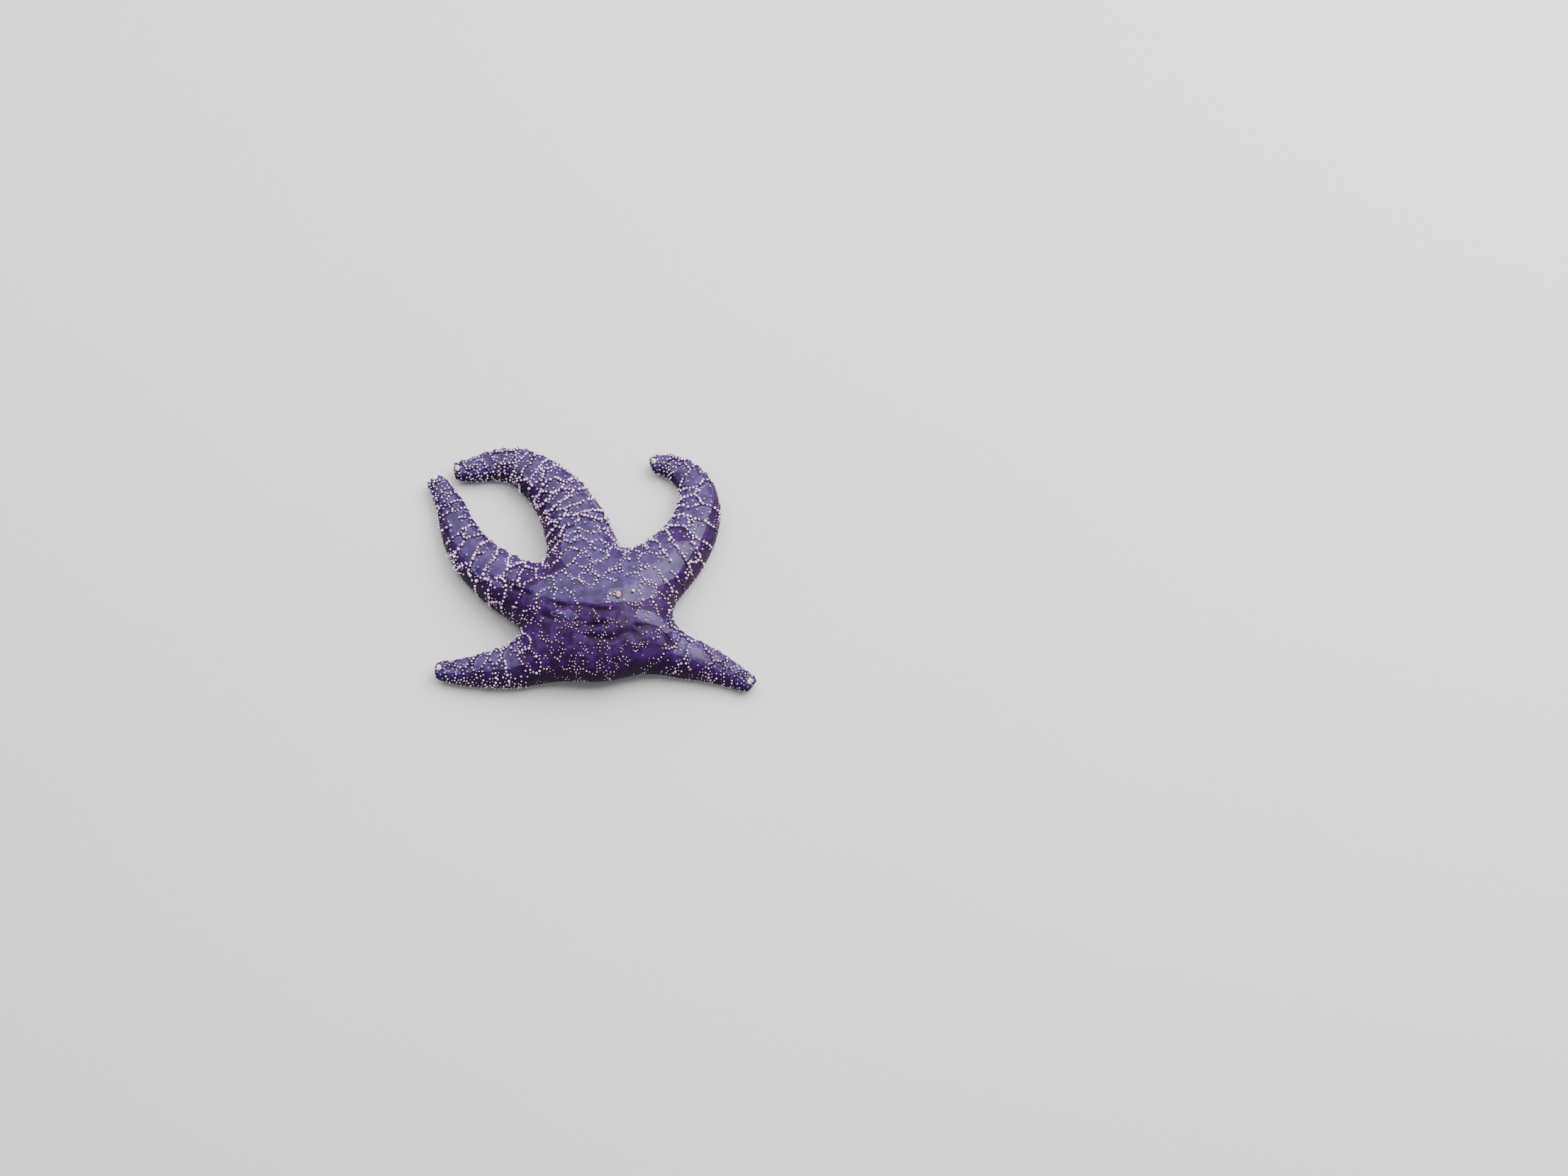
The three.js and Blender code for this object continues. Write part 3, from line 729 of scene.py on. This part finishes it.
def sole_spines(points, normals, along, patches, random):
    """Low blunt spines all over the flat underside, on which the animal rests."""
    clear = 1.75 * FURROW_HALF_WIDTH * (1 + (FURROW_AT_TIP - 1) * along.share)
    far = np.hypot(*from_centre(points).T)
    flat = (normals[:, 2] < -0.9) & (points[:, 2] < 0.8 * MM) & (np.abs(along.aside) > clear)
    flat &= far > MOUTH_RADIUS + 2 * MM
    order = random.permutation(np.flatnonzero(flat))
    picked = scatter(points, order, np.full(len(points), SOLE_SPINE_GAP))
    down = np.tile((0.0, 0.0, -1.0), (len(picked), 1))
    sizes = SOLE_SPINE_THICK * (1 + 0.12 * random.normal(size=len(picked)))
    tall = np.full(len(picked), (SOLE_HEIGHT - SOLE_CLEARANCE) / BEAD_HEIGHT)
    shape = shape_of(turned("bead", BEAD, 7))
    near = patches[picked]
    piece = array_of("sole_spines", shape, points[picked], down, sizes, near, random, heights=tall)
    return piece


def mouth_skin():
    """The soft lip round the mouth, with radial pleats and a deep dimple in its middle, which its material
    darkens as painted shade.
    """
    low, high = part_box("mouth")
    lip = ball("mouth_skin", 60, 24)
    points = points_of(lip.data)
    around, out = round_places(points)
    below = points[:, 2] < 0
    pleats = (0.5 - 0.5 * np.cos(MOUTH_PLEATS * around + 1.5 * waves(points, 0.4, 12))) * below
    dimple = np.exp(-((out / 0.3) ** 2)) * below
    cup = -0.95 * np.sqrt(np.clip(1 - out**2, 0, 1))
    points[:, 2] = np.where(below, cup + 1.3 * dimple + 0.35 * pleats * out, points[:, 2])
    keep_value(lip.data, "fold", np.maximum(dimple, 0.5 * pleats))
    half = (high - low) / 2
    points *= (MOUTH_SPREAD * half.x, MOUTH_SPREAD * half.y, half.z)
    move_points(lip.data, points + np.array((low + high) / 2))
    choose(lip)
    bpy.ops.object.shade_smooth()
    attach(lip, "root")
    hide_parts("mouth")
    return lip


# ---- The limy plates -----------------------------------------------------------------------------

EYE_PLATE_HALF = (1.35 * MM, 1.55 * MM, 1.2 * MM)
EYE_PLATE_SINK = 0.25 * MM
SIEVE_HALF = (1.3 * MM, 1.85 * MM)
SIEVE_SINK = 0.3 * MM
SIEVE_GROOVES = 18


def eye_plate(name, random):
    """A pale horseshoe-shaped lump on top of the arm's tip, open towards the tip."""
    low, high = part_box(f"eye_plate_{name}")
    _, tip_bearing = ARMS[name][2][-1]
    plate = ball(f"limy_eye_plate_{name}", 40, 28)
    points = points_of(plate.data)
    groove = np.exp(-((points[:, 1] / 0.3) ** 2)) * smoothstep(-0.25, 0.8, points[:, 0])
    lumps = 1 + 0.1 * waves(points, 0.5, random.integers(100)) + 0.05 * waves(points, 0.22, 3)
    points *= lumps[:, None]
    points[:, 2] -= 0.55 * groove * (points[:, 2] > -0.2)
    points[:, 0] -= 0.3 * groove
    keep_value(plate.data, "groove", groove)
    turn = Matrix.Rotation(math.radians(tip_bearing), 3, "Z")
    middle = (low + high) / 2 - Vector((0, 0, EYE_PLATE_SINK))
    move_points(plate.data, (points * EYE_PLATE_HALF) @ np.array(turn).T + np.array(middle))
    choose(plate)
    bpy.ops.object.shade_smooth()
    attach(plate, "root")
    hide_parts(f"eye_plate_{name}")
    return plate


def sieve_plate():
    """The madreporite: a low oval button with fine grooves that wander out from its middle."""
    low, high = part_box("sieve_plate")
    plate = ball("grooved_sieve_plate", 72, 40)
    points = points_of(plate.data)
    around, out = round_places(points)
    wander = 4.8 * waves(points * (1, 1, 0), 0.35, 8)
    groove = 0.5 + 0.5 * np.cos(SIEVE_GROOVES * around + wander)
    points *= (1 - 0.05 * groove * smoothstep(0.1, 0.5, out))[:, None]
    middle, half = (low + high) / 2, (high - low) / 2
    points *= (*SIEVE_HALF, half.z * 0.9)
    move_points(plate.data, points + np.array(middle) - (0, 0, SIEVE_SINK))
    choose(plate)
    bpy.ops.object.shade_smooth()
    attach(plate, "root")
    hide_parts("sieve_plate")
    return plate


# ---- Materials -----------------------------------------------------------------------------------


class Value:
    """A node's output that can be reckoned with: each operator adds a node to its material."""

    def __init__(self, paint, socket):
        self.paint, self.socket = paint, socket

    def __add__(self, other):
        return self.paint.math("ADD", self, other)

    def __sub__(self, other):
        return self.paint.math("SUBTRACT", self, other)

    def __rsub__(self, other):
        return self.paint.math("SUBTRACT", other, self)

    def __mul__(self, other):
        return self.paint.math("MULTIPLY", self, other)

    __radd__ = __add__
    __rmul__ = __mul__


class Paint:
    """A material being made, from its main shader's fixed settings."""

    def __init__(self, name, **fixed):
        self.material = bpy.data.materials.new(name)
        self.material.use_nodes = True
        self.tree = self.material.node_tree
        self.shader = self.tree.nodes["Principled BSDF"]
        self.set(**fixed)

    def set(self, **inputs):
        for key, value in inputs.items():
            self.feed(self.shader.inputs[key.replace("_", " ").title().replace("Ior", "IOR")], value)

    def feed(self, socket, value):
        if isinstance(value, Value):
            self.tree.links.new(value.socket, socket)
        elif hasattr(socket.default_value, "__len__") and len(socket.default_value) == 4:
            socket.default_value = (*value, 1)
        else:
            socket.default_value = value

    def node(self, kind, settings=None, output=0, **inputs):
        """One node: its settings first, then its inputs by name or, as in0, in1, by number."""
        made = self.tree.nodes.new(kind)
        for key, value in (settings or {}).items():
            setattr(made, key, value)
        for key, value in inputs.items():
            which = int(key[2:]) if key[:2] == "in" and key[2:].isdigit() else key.replace("_", " ")
            self.feed(made.inputs[which], value)
        return Value(self, made.outputs[output])

    def math(self, operation, *values):
        inputs = {f"in{i}": value for i, value in enumerate(values)}
        return self.node("ShaderNodeMath", {"operation": operation}, **inputs)

    def mix(self, share, low, high):
        """The colour that is low where share is 0 and high where it is 1."""
        return self.node("ShaderNodeMix", {"data_type": "RGBA"}, 2, in0=share, in6=low, in7=high)

    def step(self, value, low, high):
        """0 below low, 1 above high, and smooth between."""
        settings = {"interpolation_type": "SMOOTHSTEP"}
        return self.node("ShaderNodeMapRange", settings, Value=value, From_Min=low, From_Max=high)

    def kept(self, name):
        """A number that the mesh keeps for each of its points."""
        return self.node("ShaderNodeAttribute", {"attribute_name": name}, 2)

    def place(self):
        return self.node("ShaderNodeTexCoord", output=3)

    def noise(self, size, detail=2.0, roughness=0.5):
        grain = {"Scale": 1 / size, "Detail": detail, "Roughness": roughness}
        return self.node("ShaderNodeTexNoise", Vector=self.place(), **grain)

    def cells(self, size, feature="F1"):
        return self.node("ShaderNodeTexVoronoi", {"feature": feature}, Vector=self.place(), Scale=1 / size)

    def bump(self, height, distance, strength=1.0):
        self.set(normal=self.node("ShaderNodeBump", Strength=strength, Distance=distance, Height=height))


def colour(text):
    """The shader's colour for a six-digit screen colour."""
    channels = (int(text[i : i + 2], 16) / 255 for i in (0, 2, 4))
    return tuple(c / 12.92 if c <= 0.04045 else ((c + 0.055) / 1.055) ** 2.4 for c in channels)


def skin_paint():
    paint = Paint("wet_skin", coat_roughness=0.05, coat_ior=1.36, ior=1.36, specular_ior_level=0.2)
    mottle = paint.noise(5 * MM, 4.0, 0.6)
    grain = paint.noise(0.55 * MM, 3.0, 0.65)
    pores = paint.cells(0.75 * MM)
    up = paint.kept("up")
    mottled = paint.step(mottle + 0.5 * (grain - 0.5), 0.3, 0.72)
    # painted sheen: lilac speckles on the disc's velvety skin, strongest where it faces up, stand in for
    # the sky's reflection
    sheen = paint.step(grain, 0.4, 0.7) * paint.step(mottle, 0.45, 0.68) * paint.kept("velvet")
    # painted shade: the skin darkens where its normal leans away from up, on the flanks
    flank = 1 - paint.step(up, 0.2, 0.85)
    web = paint.kept("notch") * (0.2 + 0.4 * paint.step(up, 0.2, 0.75))
    # speckles on the skin's grain: partly its own velvety texture, partly painted sheen
    sheen_speckle = paint.step(grain, 0.5, 0.75) * (1 - pores)
    # painted shade: darker along the chains of spines, in the grooves beside them
    chain_shade = 1 - paint.step(paint.kept("border"), 0.3, 1.4)
    base = paint.mix(mottled, colour("1f0428"), colour("371352"))
    base = paint.mix(sheen * paint.step(up, 0.4, 0.9) * 0.45, base, colour("563f78"))
    base = paint.mix(flank * 0.88, base, colour("17031c"))
    base = paint.mix(web, base, colour("471546"))
    base = paint.mix(sheen_speckle * 0.5, base, colour("3d2358"))
    base = paint.mix(paint.kept("tips") * 0.5, base, colour("1e1650"))
    base = paint.mix(chain_shade * 0.7, base, colour("1f0426"))
    # painted shade: darker in the disc's creases
    base = paint.mix(paint.kept("crease") * 0.7, base, colour("16031a"))
    wavy = paint.kept("film") + 0.4 * (paint.noise(1.6 * MM) - 0.5) + 0.08 * (grain - 0.5)
    film = paint.step(wavy, -0.02, 0.04)
    # painted reflection: the film's lilac-slate colour stands in for the sky mirrored in the water; its
    # gloss and smoothness are real
    film_reflection = paint.mix(paint.step(mottle, 0.3, 0.7), colour("26173d"), colour("433164"))
    base = paint.mix(film * 0.9, base, film_reflection)
    # painted highlight: a pale line along the film's edge, where its meniscus catches the light
    rim = paint.step(wavy, -0.04, 0.02) * (1 - paint.step(wavy, 0.08, 0.17))
    base = paint.mix(rim * 0.38, base, colour("8274aa"))
    sole = paint.mix(mottle, colour("6c4e56"), colour("a07b64"))
    base = paint.mix(paint.kept("under"), base, sole)
    wet = paint.step(up, 0.3, 0.9)
    paint.set(base_color=base, coat_weight=0.05 + 0.1 * wet + 0.3 * film, roughness=0.6 - 0.3 * film)
    paint.bump((grain * 0.6 + (1 - pores) * 0.4) * (1 - 0.88 * film) + film * 0.9, 0.2 * MM, 0.9)
    return paint.material


def spine_paint():
    paint = Paint("chalky_spines", coat_weight=0.35, coat_roughness=0.1)
    rise, tone = paint.kept("rise"), paint.kept("tone")
    knob = paint.mix(paint.step(tone, 0.4, 1.0), colour("f3dff3"), colour("fff8ff"))
    knob = paint.mix(paint.step(tone, 0.0, 0.3), colour("e0aabb"), knob)
    sides = paint.mix(paint.step(rise, 0.62, 0.86), colour("d6b2de"), knob)
    base = paint.mix(paint.step(rise, 0.3, 0.5), colour("3f1d54"), sides)
    paint.set(base_color=base, roughness=0.45)
    paint.bump(paint.noise(0.25 * MM, 3.0), 0.03 * MM, 0.6)
    return paint.material


def lime_paint():
    paint = Paint("eye_plate_lime", coat_weight=0.5, coat_roughness=0.12)
    lump = paint.step(paint.noise(0.9 * MM, 4.0), 0.35, 0.65)
    chalk = paint.mix(lump, colour("e2c4a8"), colour("faf0dc"))
    base = paint.mix(paint.step(paint.kept("groove"), 0.55, 0.85), chalk, colour("6d2f62"))
    paint.set(base_color=base, roughness=0.5)
    paint.bump(paint.cells(0.4 * MM), 0.08 * MM, 0.8)
    return paint.material


def sieve_paint():
    paint = Paint("sieve_plate_lime", coat_weight=0.4, coat_roughness=0.15)
    lump = paint.step(paint.noise(0.5 * MM, 4.0), 0.35, 0.65)
    paint.set(base_color=paint.mix(lump, colour("b8766a"), colour("dca794")), roughness=0.55)
    paint.bump(paint.cells(0.3 * MM, "DISTANCE_TO_EDGE"), 0.05 * MM, 0.8)
    return paint.material


def mouth_paint():
    paint = Paint("mouth_skin", coat_weight=0.6, coat_roughness=0.1)
    flesh_colour = paint.mix(paint.noise(1.2 * MM, 4.0), colour("9a6250"), colour("c89878"))
    # painted shade: darker in the mouth's dimple and between its pleats
    flesh_colour = paint.mix(paint.kept("fold") * 0.85, flesh_colour, colour("3a1720"))
    paint.set(base_color=flesh_colour, roughness=0.4)
    paint.bump(paint.noise(0.5 * MM, 4.0), 0.1 * MM, 0.7)
    return paint.material


def foot_paint():
    paint = Paint("tube_foot_skin", coat_weight=0.5, coat_roughness=0.1)
    tube = paint.mix(paint.kept("tone"), colour("c99d62"), colour("e6c692"))
    base = paint.mix(paint.step(paint.kept("rise"), 0.7, 0.9), tube, colour("f0e2c4"))
    paint.set(base_color=base, roughness=0.4)
    paint.bump(paint.noise(0.3 * MM, 3.0), 0.05 * MM, 0.6)
    return paint.material


def floor_paint():
    paint = Paint("pale_floor", roughness=0.75)
    paint.set(base_color=paint.mix(paint.noise(0.4, 3.0), colour("d3d4cb"), colour("dbdcd3")))
    return paint.material


def wear(material, *pieces):
    """Gives the pieces this material and no other."""
    for piece in pieces:
        piece.data.materials.clear()
        piece.data.materials.append(material)


# ---- Camera, floor and light ---------------------------------------------------------------------

LENS, SENSOR = 85, 36
CAMERA_TILT = 60  # degrees above the floor
CAMERA_FROM = 1.828  # the point that it aims at
AIM_RIGHT, AIM_UP = 91.35 * MM, 15.4 * MM  # from the animal's centre to the middle of the view
FLOOR_SIZE = 24
# Each lamp's place, size, power and tint.
LAMPS = {
    "sky_box": ((-0.1, 0.7, 1.15), 2.2, 46, (0.91, 0.9, 1)),
    "key_box": ((0.85, 0.45, 1.0), 1.2, 32, (0.93, 0.86, 1)),
}
AIR_COLOUR, AIR_STRENGTH = (0.9, 0.93, 1, 1), 0.5


def camera():
    """Looks down at the animal from the front."""
    tilt = math.radians(CAMERA_TILT)
    back = Vector((0, -math.cos(tilt), math.sin(tilt)))
    up = Vector((0, math.sin(tilt), math.cos(tilt)))
    data = bpy.data.cameras.new("camera")
    data.lens, data.sensor_width = LENS, SENSOR
    made = bpy.data.objects.new("camera", data)
    made.location = CENTRE + AIM_RIGHT * Vector((1, 0, 0)) + AIM_UP * up + CAMERA_FROM * back
    made.rotation_euler = (math.pi / 2 - tilt, 0, 0)
    bpy.context.collection.objects.link(made)
    bpy.context.scene.camera = made


def soft_box(name, place, size, power, tint):
    """A square lamp that faces the animal."""
    data = bpy.data.lights.new(name, "AREA")
    data.size, data.energy, data.color = size, power, tint
    made = bpy.data.objects.new(name, data)
    made.location = place
    made.rotation_euler = Vector(place).to_track_quat("Z", "Y").to_euler()
    bpy.context.collection.objects.link(made)


def studio():
    """The floor, two soft lamps and the light of the air."""
    bpy.ops.object.select_all(action="DESELECT")
    bpy.ops.mesh.primitive_plane_add(size=FLOOR_SIZE)
    floor = bpy.context.object
    floor.name = floor.data.name = "floor"
    wear(floor_paint(), floor)
    for name, settings in LAMPS.items():
        soft_box(name, *settings)
    world = bpy.context.scene.world or bpy.data.worlds.new("studio_air")
    bpy.context.scene.world = world
    world.use_nodes = True
    world.node_tree.nodes["Background"].inputs["Color"].default_value = AIR_COLOUR
    world.node_tree.nodes["Background"].inputs["Strength"].default_value = AIR_STRENGTH


# ---- Making it all -------------------------------------------------------------------------------

FLAT_BELOW = 1.6 * MM  # what faces down and is lower than this lies flat on the sole's small spines
FURROW_ROOF = 4.5 * MM  # what faces down in a furrow is lower than this
NO_CHAIN = 3 * MM  # the distance kept where no chain of spines is near
DISC_REACH = 40 * MM  # from the centre, where the disc's spines end
SPINE_LEAN = 0.1


def lay_flat(points, up):
    """Lays the skin of the underside level, and lifts all of it to the sole."""
    flat = smoothstep(-0.5, -0.9, up) * (points[:, 2] < FLAT_BELOW)
    points[:, 2] += (SOLE_HEIGHT - points[:, 2]) * flat
    points[:, 2] = np.maximum(points[:, 2], SOLE_HEIGHT)


def mark_skin(mesh, points, up, along, net, film, crease):
    """Keeps what the skin's material reads: film and border in millimetres, the rest without a unit."""
    sole = points[:, 2] < SOLE_HEIGHT + 0.2 * MM
    sole |= (along.breadth < 0.6) & (points[:, 2] < FURROW_ROOF)
    web = smoothstep(0.72, 1.0, along.breadth) * smoothstep(24 * MM, 34 * MM, along.from_centre)
    web *= smoothstep(2 * MM, 14 * MM, from_centre(points)[:, 1])
    web *= 1 - smoothstep(50 * MM, 64 * MM, along.from_centre)
    keep_value(mesh, "film", film / MM)
    keep_value(mesh, "border", np.where(net.spined, net.border, NO_CHAIN) / MM)
    keep_value(mesh, "crease", crease)
    keep_value(mesh, "up", up)
    # where the skin's material paints its disc sheen
    keep_value(mesh, "velvet", 1 - along.on_arm)
    keep_value(mesh, "under", smoothstep(-0.5, -0.85, up) * sole)
    keep_value(mesh, "tips", smoothstep(0.8, 0.98, along.share))
    keep_value(mesh, "notch", web)


random = np.random.default_rng(SEED)

skin = flesh()
patches = unfold(skin)
normals = normals_of(skin.data)
up = normals[:, 2]
points = points_of(skin.data) - normals * (COAT_DEPTH + SEAM_OVERLAP)
lay_flat(points, up)
along = Along(points)
net = Net(points, along, random)
film = spread_values(skin.data, film_on(points, along, net, up), FILM_ROUNDS)
stands_out, crease = relief(points, along, net, up)
surface = points + normals * stands_out[:, None]
surface[:, 2] = np.maximum(surface[:, 2], SOLE_HEIGHT)
move_points(skin.data, surface)
skin.data.shade_smooth()
mark_skin(skin.data, points, up, along, net, film, crease)
wear(skin_paint(), skin)
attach(skin, "root")
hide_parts(*FLESH)

knob = shape_of(turned("knob", KNOB_SPINE, 8))
picked, thick = back_spines(points, normals, along, net, random)
on_disc = along.from_centre[picked] < DISC_REACH
fine = lower_disc(points, along)
coat = []
for k, part in enumerate((*ARMS, "disc")):
    mine = picked[on_disc if part == "disc" else ~on_disc & (along.arm[picked] == k)]
    ways = tilted(normals[mine], SPINE_LEAN, random)
    tones = random.random(len(mine)) * (1 - 0.7 * fine[mine])
    made = array_of(f"spines_{part}", knob, surface[mine], ways, thick[mine], patches[mine], random, tones)
    coat.append(made)

coat.append(granules(points, surface, normals, net, picked, patches, random))
skin_tree = tree_of(surface)
slim = shape_of(turned("slim", KNOB_SPINE, 6))
coat.append(furrow_spines(slim, skin_tree, patches, random))
coat.append(sole_spines(surface, normals, along, patches, random))
wear(spine_paint(), *coat)
wear(foot_paint(), tube_feet(skin_tree, patches, random))
wear(mouth_paint(), mouth_skin())
wear(lime_paint(), *(eye_plate(name, random) for name in ARMS))
wear(sieve_paint(), sieve_plate())

camera()
studio()
